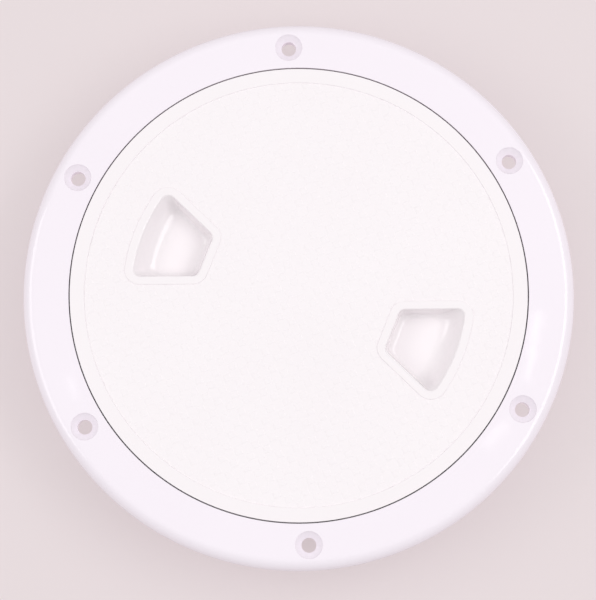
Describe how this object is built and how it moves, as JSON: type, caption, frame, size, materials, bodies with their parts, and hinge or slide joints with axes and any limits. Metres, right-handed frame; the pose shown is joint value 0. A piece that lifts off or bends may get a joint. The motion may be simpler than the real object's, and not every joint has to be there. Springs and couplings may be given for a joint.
{
  "type": "deck inspection plate",
  "caption": "Round deck inspection plate: a flanged mounting ring, screwed down round a hole in the deck, with a hand-turned threaded lid that has finger recesses and a rubber seal.",
  "frame": {"origin": "centre of the flange's underside, on the deck's surface", "axes": "+Z along the plate's axis, up out of the deck; +Y towards the picture's upper edge; the lid is screwed home"},
  "size_m": [0.2, 0.2, 0.028],
  "materials": {
    "white_gloss": "polished white moulding",
    "white_matt": "fine matt white moulding",
    "black_rubber": "smooth black rubber"
  },
  "bodies": {
    "ring": {"mounting_ring": "white_gloss"},
    "seal": {"o_ring": "black_rubber"},
    "cover": {"lid": "white_matt"}
  },
  "joints": [
    {"name": "lid_lift", "type": "slide", "parent": "ring", "child": "seal", "axis": [0, 0, 1], "range_m": [0, 0.03]},
    {"name": "lid_twist", "type": "hinge", "parent": "seal", "child": "cover", "pos_m": [0, 0, 0], "axis": [0, 0, 1], "range_deg": [0, 540]}
  ],
  "couplings": [
    {"joint": "lid_lift", "follows": "lid_twist", "m_per_rad": 0.0031831}
  ]
}
